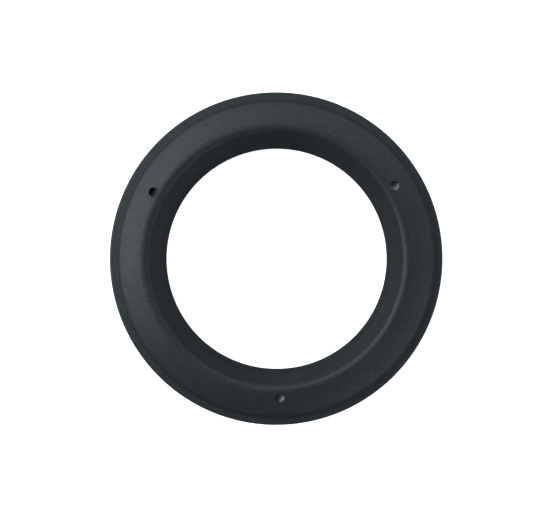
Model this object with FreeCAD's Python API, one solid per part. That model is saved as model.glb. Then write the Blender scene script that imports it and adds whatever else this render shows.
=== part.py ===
import FreeCAD, Part
import math
import os

from FreeCAD import Vector

# Toilet floor flange: a moulded ring with a stub of pipe cemented under it as a spigot, a foam gasket
# in the channel under the ring, and a rubber seal round the spigot. Millimetres. +Z is up, along the
# flange's axis. The origin is the centre of the floor face, where the gasket meets the floor. The
# spigot reaches below it, into the soil pipe.

# Driving dimensions: radii
FLANGE_R = 75.0
STEP_FOOT_R = 71.6
STEP_EDGE_R = 70.6
SCREW_CIRCLE_R = 62.1
SPIGOT_R = 55.0
BORE_R = 52.0

# Driving dimensions: heights above the floor face
CREST_TOP = 9.3
LIP_TOP = 3.3
SOCKET_TOP = 3.2
FUNNEL_START = 0.5
RIM_GAP = 0.8
SPIGOT_END = -22.0

# Shape of the upper side: a funnel up to the crest, a band that slopes down more steeply beyond its
# break, a steep step and a lip. LIP_TOP is the lip's height at the step's foot.
FUNNEL_ANGLE = math.radians(30.0)
FUNNEL_FOOT_ROUND = 4.0
CREST_INNER_ROUND = 3.2
CREST_FLAT = 0.1
CREST_OUTER_ROUND = 6.0
BAND_SLOPE = math.radians(17.0)
BAND_BREAK_R = 65.0
BAND_BREAK_ROUND = 30.0
BAND_OUTER_SLOPE = math.radians(25.0)
STEP_EDGE_ROUND = 4.0
STEP_FOOT_ROUND = 0.5
LIP_SLOPE = math.radians(5.0)
LIP_EDGE_ROUND = 0.8
EDGE_ROUND = 0.3

# Spigot and its seal
SPIGOT_LEAD = 1.5
SPIGOT_LEAD_DEPTH = 0.8
SEAL_TOP = -4.0
SEAL_WIDTH = 7.0
SEAL_GROOVE_DEPTH = 1.2
SEAL_FINS = 3
FIN_HEIGHT = 1.0
FIN_TIP = 0.4
FIN_BACK = 1.0

# Channel under the ring, and the gasket that fills it
WALL = 2.2
CHANNEL_IN_R = 58.6
CHANNEL_OUT_R = 68.6
GASKET_SIDE_GAP = 0.2
GASKET_TOP_GAP = 0.1
GASKET_EDGE = 0.25
DIMPLE_R = 2.5
DIMPLE_DEPTH = 0.5

# Screw holes
SCREW_COUNT = 3
FIRST_SCREW_ANGLE = 30.0
SCREW_HOLE_R = 2.0
SCREW_EDGE_BREAK = 0.35

FULL_TURN = 360.0
OVERSHOOT = 1.0
ORIGIN = Vector(0, 0, 0)
UP = Vector(0, 0, 1)
SCREW_ANGLES = [FIRST_SCREW_ANGLE + screw * FULL_TURN / SCREW_COUNT for screw in range(SCREW_COUNT)]

# Sizes that follow: where the funnel would meet the crest's height, where the band would, and the
# lip's height at its edge
FUNNEL_TOP_R = BORE_R + (CREST_TOP - FUNNEL_START) * math.tan(FUNNEL_ANGLE)
CREST_IN_REACH = CREST_INNER_ROUND * math.tan((math.pi / 2 - FUNNEL_ANGLE) / 2)
CREST_OUT_REACH = CREST_OUTER_ROUND * math.tan(BAND_SLOPE / 2)
BAND_CORNER_R = FUNNEL_TOP_R + CREST_IN_REACH + CREST_FLAT + CREST_OUT_REACH
LIP_EDGE_TOP = LIP_TOP - (FLANGE_R - STEP_FOOT_R) * math.tan(LIP_SLOPE)


def funnel_radius(height):
    """Radius of the funnel's straight part at a height."""
    return BORE_R + (height - FUNNEL_START) * math.tan(FUNNEL_ANGLE)


def band_height(radius):
    """Height of the band's straight parts at a radius."""
    inner_run = min(radius, BAND_BREAK_R) - BAND_CORNER_R
    outer_run = max(radius, BAND_BREAK_R) - BAND_BREAK_R
    return CREST_TOP - inner_run * math.tan(BAND_SLOPE) - outer_run * math.tan(BAND_OUTER_SLOPE)


def rounded_outline(corners):
    """Closed wire in the XZ plane through (radius, height, rounding) corners."""
    edges = []
    ends = []
    for here, corner in enumerate(corners):
        before = corners[here - 1]
        after = corners[(here + 1) % len(corners)]
        point = Vector(corner[0], 0, corner[1])
        back = (Vector(before[0], 0, before[1]) - point).normalize()
        ahead = (Vector(after[0], 0, after[1]) - point).normalize()
        rounding = corner[2]
        if rounding == 0:
            ends.append((point, point))
            continue
        half = back.getAngle(ahead) / 2
        inward = (back + ahead).normalize()
        reach = rounding / math.tan(half)
        centre = point + inward * (rounding / math.sin(half))
        first = point + back * reach
        last = point + ahead * reach
        edges.append(Part.Arc(first, centre - inward * rounding, last).toShape())
        ends.append((first, last))
    for here, end in enumerate(ends):
        start = ends[here - 1][1]
        edges.append(Part.LineSegment(start, end[0]).toShape())
    return Part.Wire(Part.__sortEdges__(edges))


def turned(corners, angle=FULL_TURN):
    """Solid turned round the Z axis from (radius, height, rounding) corners."""
    return Part.Face(rounded_outline(corners)).revolve(ORIGIN, UP, angle)


def on_screw_circle(angle, height):
    """Point on the circle of screw holes."""
    turn = math.radians(angle)
    return Vector(SCREW_CIRCLE_R * math.cos(turn), SCREW_CIRCLE_R * math.sin(turn), height)


def ring_blank():
    """The turned ring: funnel, crest, band, step, lip, the channel under it and the spigot's socket."""
    return turned([
        (funnel_radius(SOCKET_TOP), SOCKET_TOP, 0),
        (FUNNEL_TOP_R, CREST_TOP, CREST_INNER_ROUND),
        (BAND_CORNER_R, CREST_TOP, CREST_OUTER_ROUND),
        (BAND_BREAK_R, band_height(BAND_BREAK_R), BAND_BREAK_ROUND),
        (STEP_EDGE_R, band_height(STEP_EDGE_R), STEP_EDGE_ROUND),
        (STEP_FOOT_R, LIP_TOP, STEP_FOOT_ROUND),
        (FLANGE_R, LIP_EDGE_TOP, LIP_EDGE_ROUND),
        (FLANGE_R, RIM_GAP, EDGE_ROUND),
        (CHANNEL_OUT_R, RIM_GAP, 0),
        (CHANNEL_OUT_R, band_height(CHANNEL_OUT_R) - WALL, 0),
        (BAND_BREAK_R, band_height(BAND_BREAK_R) - WALL, 0),
        (BAND_CORNER_R, CREST_TOP - WALL, 0),
        (CHANNEL_IN_R, CREST_TOP - WALL, 0),
        (CHANNEL_IN_R, RIM_GAP, 0),
        (SPIGOT_R, RIM_GAP, 0),
        (SPIGOT_R, SOCKET_TOP, 0),
    ])


def screw_hole(angle):
    """Upright through hole, with its top edge broken square to the band."""
    turn = math.radians(angle)
    surface = on_screw_circle(angle, band_height(SCREW_CIRCLE_R))
    normal = Vector(
        math.sin(BAND_SLOPE) * math.cos(turn),
        math.sin(BAND_SLOPE) * math.sin(turn),
        math.cos(BAND_SLOPE),
    )
    through = Part.makeCylinder(SCREW_HOLE_R, CREST_TOP + OVERSHOOT, on_screw_circle(angle, 0))
    edge_break = Part.makeCone(
        SCREW_HOLE_R,
        SCREW_HOLE_R + SCREW_EDGE_BREAK + OVERSHOOT,
        SCREW_EDGE_BREAK + OVERSHOOT,
        surface - normal * SCREW_EDGE_BREAK,
        normal,
    )
    return through.fuse(edge_break)


def make_flange_ring():
    ring = ring_blank()
    for angle in SCREW_ANGLES:
        ring = ring.cut(screw_hole(angle))
    return ring


def make_spigot_tube():
    """Stub of soil pipe, cemented into the ring's socket, with a seal groove and a lead-in.
    Its mouth widens as the foot of the funnel."""
    groove_r = SPIGOT_R - SEAL_GROOVE_DEPTH
    return turned([
        (BORE_R, SPIGOT_END, EDGE_ROUND),
        (BORE_R, FUNNEL_START, FUNNEL_FOOT_ROUND),
        (funnel_radius(SOCKET_TOP), SOCKET_TOP, 0),
        (SPIGOT_R, SOCKET_TOP, 0),
        (SPIGOT_R, SEAL_TOP, 0),
        (groove_r, SEAL_TOP, 0),
        (groove_r, SEAL_TOP - SEAL_WIDTH, 0),
        (SPIGOT_R, SEAL_TOP - SEAL_WIDTH, 0),
        (SPIGOT_R, SPIGOT_END + SPIGOT_LEAD, 0),
        (SPIGOT_R - SPIGOT_LEAD_DEPTH, SPIGOT_END, 0),
    ])


def screw_dimple(angle):
    """Flat-bottomed dimple in the gasket's top under a screw hole."""
    floor = band_height(SCREW_CIRCLE_R) - WALL - GASKET_TOP_GAP - DIMPLE_DEPTH
    return Part.makeCylinder(DIMPLE_R, CREST_TOP, on_screw_circle(angle, floor))


def make_floor_gasket():
    """Foam ring that fills the channel. A shallow dimple under each screw hole starts the screw. The
    screws then pierce the foam, so it seals round them."""
    in_r = CHANNEL_IN_R + GASKET_SIDE_GAP
    out_r = CHANNEL_OUT_R - GASKET_SIDE_GAP
    clear = WALL + GASKET_TOP_GAP
    gasket = turned([
        (in_r, 0, GASKET_EDGE),
        (out_r, 0, GASKET_EDGE),
        (out_r, band_height(out_r) - clear, 0),
        (BAND_BREAK_R, band_height(BAND_BREAK_R) - clear, 0),
        (BAND_CORNER_R, CREST_TOP - clear, 0),
        (in_r, CREST_TOP - clear, 0),
    ])
    for angle in SCREW_ANGLES:
        gasket = gasket.cut(screw_dimple(angle))
    return gasket


def make_spigot_seal():
    """Band in the spigot's groove with fins that lean away from the pipe's mouth."""
    groove_r = SPIGOT_R - SEAL_GROOVE_DEPTH
    bottom = SEAL_TOP - SEAL_WIDTH
    pitch = SEAL_WIDTH / SEAL_FINS
    corners = [(groove_r, SEAL_TOP, 0), (groove_r, bottom, 0), (SPIGOT_R, bottom, 0)]
    for fin in range(SEAL_FINS):
        tip = bottom + (fin + 1) * pitch - FIN_BACK
        corners.append((SPIGOT_R + FIN_HEIGHT, tip, 0))
        corners.append((SPIGOT_R + FIN_HEIGHT, tip + FIN_TIP, 0))
        corners.append((SPIGOT_R, bottom + (fin + 1) * pitch, 0))
    return turned(corners)


def export(name, shape):
    """Write one node's solids to its own STEP file."""
    solid = shape.Solids[0] if len(shape.Solids) == 1 else Part.makeCompound(shape.Solids)
    solid.exportStep("parts/" + name + ".step")
    print(name, "solids", len(shape.Solids), "valid", shape.isValid(), "mm3", round(shape.Volume))


os.makedirs("parts", exist_ok=True)
export("flange_ring", make_flange_ring())
export("spigot_tube", make_spigot_tube())
export("floor_gasket", make_floor_gasket())
export("spigot_seal", make_spigot_seal())
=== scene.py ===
"""Looks of the toilet flange: materials, camera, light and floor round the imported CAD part."""
import math

import bpy
from mathutils import Matrix, Vector


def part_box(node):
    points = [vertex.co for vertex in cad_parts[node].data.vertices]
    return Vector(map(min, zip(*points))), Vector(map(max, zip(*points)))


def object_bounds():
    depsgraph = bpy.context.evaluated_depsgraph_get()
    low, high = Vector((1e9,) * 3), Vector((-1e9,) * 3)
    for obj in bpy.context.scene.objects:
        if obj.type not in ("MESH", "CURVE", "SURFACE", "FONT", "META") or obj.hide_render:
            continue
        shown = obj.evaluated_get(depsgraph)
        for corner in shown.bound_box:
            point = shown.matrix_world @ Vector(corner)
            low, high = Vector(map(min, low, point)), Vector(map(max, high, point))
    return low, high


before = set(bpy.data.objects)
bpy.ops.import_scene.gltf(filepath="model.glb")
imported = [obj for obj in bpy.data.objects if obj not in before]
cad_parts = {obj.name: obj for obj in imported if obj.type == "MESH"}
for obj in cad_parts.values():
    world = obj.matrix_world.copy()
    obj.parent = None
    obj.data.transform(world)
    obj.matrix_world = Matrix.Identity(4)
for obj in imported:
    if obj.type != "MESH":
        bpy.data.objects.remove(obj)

MM = 0.001

cad_low, cad_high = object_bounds()
ring_low, ring_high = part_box("flange_ring")
FLANGE_R = ring_high.x
LIP_TOP = ring_low.z + 2.5 * MM
FLOOR_Z = cad_low.z

# Camera: straight above and a little off the axis. Distances are measured from the lip's top.
# The share is the flange's radius over the picture's width.
RADIUS_SHARE = 0.29782
CAMERA_DISTANCE = 0.480
CAMERA_OFFSET = Vector((4.6 * MM, -1.8 * MM, 0))
AIM_OFFSET = Vector((1.78 * MM, -0.92 * MM, 0))
CAMERA_ROLL = math.radians(-1.6)
SENSOR_WIDTH = 36.0

# Painted shade on the foam: a dark patch under the left screw hole, which keeps that hole looking
# shaded. Its place and size, how far its edge fades out, and how far it wanders in and out
SCREW_CIRCLE_R = 62.1 * MM
PAINTED_SHADE_ANGLE = math.radians(150)
PAINTED_SHADE_PLACE = (
    SCREW_CIRCLE_R * math.cos(PAINTED_SHADE_ANGLE),
    SCREW_CIRCLE_R * math.sin(PAINTED_SHADE_ANGLE),
    5 * MM,
)
PAINTED_SHADE_R = 6 * MM
PAINTED_SHADE_EDGE = 4 * MM
PAINTED_SHADE_WANDER = 4 * MM

# Most of a noise texture's values lie between these
NOISE_LOW = 0.3
NOISE_HIGH = 0.7

# Floor: it glows, so that it stays white in the flange's shadow
FLOOR_HALF = 4.0
FLOOR_GLOW = 1.03
FLOOR_GLOW_COLOR = (0.97, 0.99, 1.0, 1)

# Softboxes, all the same size and at the same distance from the flange, in two tints
LIGHT_SIZE = 0.9
LIGHT_DISTANCE = 2.0
WINDOW_LIGHT = (0.87, 0.98, 1.00)
SKY_LIGHT = (0.77, 0.86, 1.00)


# ---------------------------------------------------------------- node helpers

class Nodes:
    """Short calls for making one material's node tree."""

    def __init__(self, name):
        self.material = bpy.data.materials.new(name)
        self.material.use_nodes = True
        self.tree = self.material.node_tree
        self.shader = self.tree.nodes["Principled BSDF"]
        self.place = self.tree.nodes.new("ShaderNodeTexCoord").outputs["Object"]

    def add(self, kind, **settings):
        node = self.tree.nodes.new(kind)
        for key, value in settings.items():
            setattr(node, key, value)
        return node

    def link(self, source, target):
        self.tree.links.new(source, target)

    def math(self, operation, first, second):
        node = self.add("ShaderNodeMath", operation=operation)
        for socket, value in zip(node.inputs, (first, second)):
            if isinstance(value, (int, float)):
                socket.default_value = value
            else:
                self.link(value, socket)
        return node.outputs[0]

    def noise(self, size, detail=2.0, roughness=0.5, place=None):
        """Noise whose features are about size metres across."""
        node = self.add("ShaderNodeTexNoise")
        self.link(place or self.place, node.inputs["Vector"])
        node.inputs["Scale"].default_value = 1.0 / size
        node.inputs["Detail"].default_value = detail
        node.inputs["Roughness"].default_value = roughness
        return node.outputs["Fac"]

    def stretched(self, scale):
        """Object coordinates scaled along each axis, for streaks."""
        node = self.add("ShaderNodeMapping")
        self.link(self.place, node.inputs["Vector"])
        node.inputs["Scale"].default_value = scale
        return node.outputs["Vector"]

    def ramp(self, factor, stops):
        """Colour ramp through (position, colour) stops."""
        node = self.add("ShaderNodeValToRGB")
        elements = node.color_ramp.elements
        while len(elements) < len(stops):
            elements.new(0.5)
        for element, (position, color) in zip(elements, stops):
            element.position = position
            element.color = (*color, 1.0)
        self.link(factor, node.inputs["Fac"])
        return node.outputs["Color"]

    def spread(self, factor, low, high, start=NOISE_LOW, end=NOISE_HIGH):
        """Map a factor from start to end onto low to high."""
        node = self.add("ShaderNodeMapRange")
        self.link(factor, node.inputs["Value"])
        node.inputs["From Min"].default_value = start
        node.inputs["From Max"].default_value = end
        node.inputs["To Min"].default_value = low
        node.inputs["To Max"].default_value = high
        return node.outputs["Result"]

    def bump(self, height, distance, strength, normal=None):
        """Bump of a height in metres, on top of another bump if one is given."""
        node = self.add("ShaderNodeBump")
        node.inputs["Strength"].default_value = strength
        node.inputs["Distance"].default_value = distance
        self.link(height, node.inputs["Height"])
        if normal is not None:
            self.link(normal, node.inputs["Normal"])
        return node.outputs["Normal"]


# ---------------------------------------------------------------- materials

def black_plastic():
    """Satin black moulding with a fine grain and a faint mottle."""
    n = Nodes("black_plastic")
    grain = n.noise(0.7 * MM, detail=3.0, roughness=0.6)
    cloud = n.noise(14 * MM, detail=3.0)
    mottle = n.noise(1.3 * MM, detail=3.0, roughness=0.6)
    shade = n.math("ADD", n.math("MULTIPLY", cloud, 0.45), n.math("MULTIPLY", mottle, 0.55))
    color = n.ramp(shade, [(0.34, (0.0212, 0.0247, 0.0272)), (0.66, (0.0263, 0.0304, 0.0334))])
    n.link(color, n.shader.inputs["Base Color"])
    rough = n.math("ADD", n.spread(grain, 0.50, 0.58), n.spread(cloud, -0.02, 0.02))
    n.link(rough, n.shader.inputs["Roughness"])
    n.shader.inputs["IOR"].default_value = 1.47
    n.link(n.spread(mottle, 0.43, 0.57), n.shader.inputs["Specular IOR Level"])
    fine = n.bump(grain, 0.035 * MM, 0.9)
    n.link(n.bump(mottle, 0.05 * MM, 0.8, fine), n.shader.inputs["Normal"])
    return n.material


def cut_foam():
    """Off-white closed-cell foam with open cells on its cut faces, and a dark patch of painted
    shade under the left screw hole.
    """
    n = Nodes("cut_foam")
    cells = n.add("ShaderNodeTexVoronoi", feature="F1")
    n.link(n.place, cells.inputs["Vector"])
    cells.inputs["Scale"].default_value = 1.0 / (0.55 * MM)
    cell = n.spread(cells.outputs["Distance"], 0.0, 1.0, 0.05, 0.45)
    waves = n.noise(5 * MM, detail=3.0, place=n.stretched((1.0, 0.25, 1.0)))
    shade = n.math("ADD", n.math("MULTIPLY", cell, 0.5), n.math("MULTIPLY", waves, 0.5))
    clean = n.ramp(shade, [(0.25, (0.60, 0.61, 0.59)), (0.75, (0.78, 0.78, 0.75))])
    # Painted shade: the foam turns dark grey round the left screw hole, so that this hole looks
    # shaded
    away = n.add("ShaderNodeVectorMath", operation="DISTANCE")
    n.link(n.place, away.inputs[0])
    away.inputs[1].default_value = PAINTED_SHADE_PLACE
    ragged = n.math("ADD", away.outputs["Value"], n.math("MULTIPLY", waves, PAINTED_SHADE_WANDER))
    painted_shade = n.add("ShaderNodeMix", data_type="RGBA")
    strength = n.spread(ragged, 1.0, 0.0, PAINTED_SHADE_R, PAINTED_SHADE_R + PAINTED_SHADE_EDGE)
    n.link(strength, painted_shade.inputs["Factor"])
    n.link(clean, painted_shade.inputs["A"])
    painted_shade.inputs["B"].default_value = (0.10, 0.105, 0.105, 1)
    n.link(painted_shade.outputs["Result"], n.shader.inputs["Base Color"])
    n.link(n.spread(waves, 0.78, 0.92), n.shader.inputs["Roughness"])
    n.link(n.bump(waves, 0.15 * MM, 0.5, n.bump(cell, 0.10 * MM, 0.7)), n.shader.inputs["Normal"])
    return n.material


def solid_rubber():
    """Moulded seal rubber with a soft sheen and a dusty bloom."""
    n = Nodes("solid_rubber")
    bloom = n.noise(4 * MM, detail=5.0, roughness=0.7)
    grain = n.noise(0.5 * MM, detail=2.0)
    color = n.ramp(bloom, [(0.35, (0.014, 0.014, 0.0145)), (0.75, (0.034, 0.034, 0.035))])
    n.link(color, n.shader.inputs["Base Color"])
    n.link(n.spread(bloom, 0.48, 0.72), n.shader.inputs["Roughness"])
    n.link(n.bump(grain, 0.02 * MM, 0.6), n.shader.inputs["Normal"])
    return n.material


def dress(node, material):
    """Give a CAD node its material, on every slot."""
    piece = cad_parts[node]
    piece.data.materials.clear()
    piece.data.materials.append(material)


def dress_nodes():
    plastic = black_plastic()
    dress("flange_ring", plastic)
    dress("spigot_tube", plastic)
    dress("floor_gasket", cut_foam())
    dress("spigot_seal", solid_rubber())


# ---------------------------------------------------------------- studio

def floor():
    """Plain white floor at the foot of the spigot. The plastic doesn't mirror it."""
    mesh = bpy.data.meshes.new("floor")
    signs = ((-1, -1), (1, -1), (1, 1), (-1, 1))
    corners = [(x * FLOOR_HALF, y * FLOOR_HALF, FLOOR_Z) for x, y in signs]
    mesh.from_pydata(corners, [], [(0, 1, 2, 3)])
    piece = bpy.data.objects.new("floor", mesh)
    bpy.context.scene.collection.objects.link(piece)
    n = Nodes("floor_white")
    n.shader.inputs["Base Color"].default_value = (0.92, 0.92, 0.92, 1)
    n.shader.inputs["Roughness"].default_value = 0.9
    n.shader.inputs["Emission Color"].default_value = FLOOR_GLOW_COLOR
    n.shader.inputs["Emission Strength"].default_value = FLOOR_GLOW
    mesh.materials.append(n.material)
    piece.visible_glossy = False


def soft_light(name, azimuth, zenith, power, color):
    """Square softbox of a power in watts, aimed at the flange. Its direction is in degrees: the
    azimuth is counted from +X, and the zenith from straight above."""
    turn, tilt = math.radians(azimuth), math.radians(zenith)
    away = Vector((
        math.sin(tilt) * math.cos(turn),
        math.sin(tilt) * math.sin(turn),
        math.cos(tilt),
    ))
    data = bpy.data.lights.new(name, "AREA")
    data.shape = "SQUARE"
    data.size = LIGHT_SIZE
    data.energy = power
    data.color = color
    light = bpy.data.objects.new(name, data)
    light.location = away * LIGHT_DISTANCE
    light.rotation_euler = away.to_track_quat("Z", "Y").to_euler()
    bpy.context.scene.collection.objects.link(light)


def sky():
    """White backdrop that lights nothing: all the light comes from the softboxes and the floor."""
    world = bpy.data.worlds.new("surround")
    bpy.context.scene.world = world
    world.use_nodes = True
    background = world.node_tree.nodes["Background"]
    background.inputs["Color"].default_value = (1, 1, 1, 1)
    background.inputs["Strength"].default_value = 1.0
    world.cycles_visibility.diffuse = False
    world.cycles_visibility.glossy = False


def lights():
    """A wide window on the left, and weaker fills round the other sides."""
    sky()
    soft_light("window_left", 180, 54, 16.5, WINDOW_LIGHT)
    soft_light("window_middle", 150, 54, 9.5, WINDOW_LIGHT)
    soft_light("window_high", 150, 38, 4.0, WINDOW_LIGHT)
    soft_light("window_back", 120, 54, 8.5, WINDOW_LIGHT)
    soft_light("back_fill", 90, 54, 2.5, WINDOW_LIGHT)
    soft_light("back_right_fill", 60, 54, 6.0, SKY_LIGHT)
    soft_light("right_rim", 30, 70, 3.5, SKY_LIGHT)
    soft_light("far_right_rim", 0, 70, 3.5, SKY_LIGHT)
    soft_light("front_right_rim", 330, 70, 6.0, SKY_LIGHT)
    soft_light("front_rim", 300, 70, 5.5, SKY_LIGHT)


def camera():
    """Camera that looks down at the flange and sees it as large as the photograph does."""
    data = bpy.data.cameras.new("camera")
    data.sensor_width = SENSOR_WIDTH
    view_width = FLANGE_R / RADIUS_SHARE
    data.lens = SENSOR_WIDTH * CAMERA_DISTANCE / view_width
    eye = bpy.data.objects.new("camera", data)
    bpy.context.scene.collection.objects.link(eye)
    eye.location = CAMERA_OFFSET + Vector((0, 0, LIP_TOP + CAMERA_DISTANCE))
    aim = AIM_OFFSET + Vector((0, 0, LIP_TOP))
    back = (eye.location - aim).normalized()
    level = Vector((math.cos(CAMERA_ROLL), math.sin(CAMERA_ROLL), 0))
    right = (level - back * level.dot(back)).normalized()
    up = back.cross(right)
    eye.rotation_euler = Matrix((right, up, back)).transposed().to_euler()
    bpy.context.scene.camera = eye


def look():
    """Plain display transform, so white stays white."""
    scene = bpy.context.scene
    scene.view_settings.view_transform = "Standard"
    scene.view_settings.look = "None"


dress_nodes()
floor()
lights()
camera()
look()
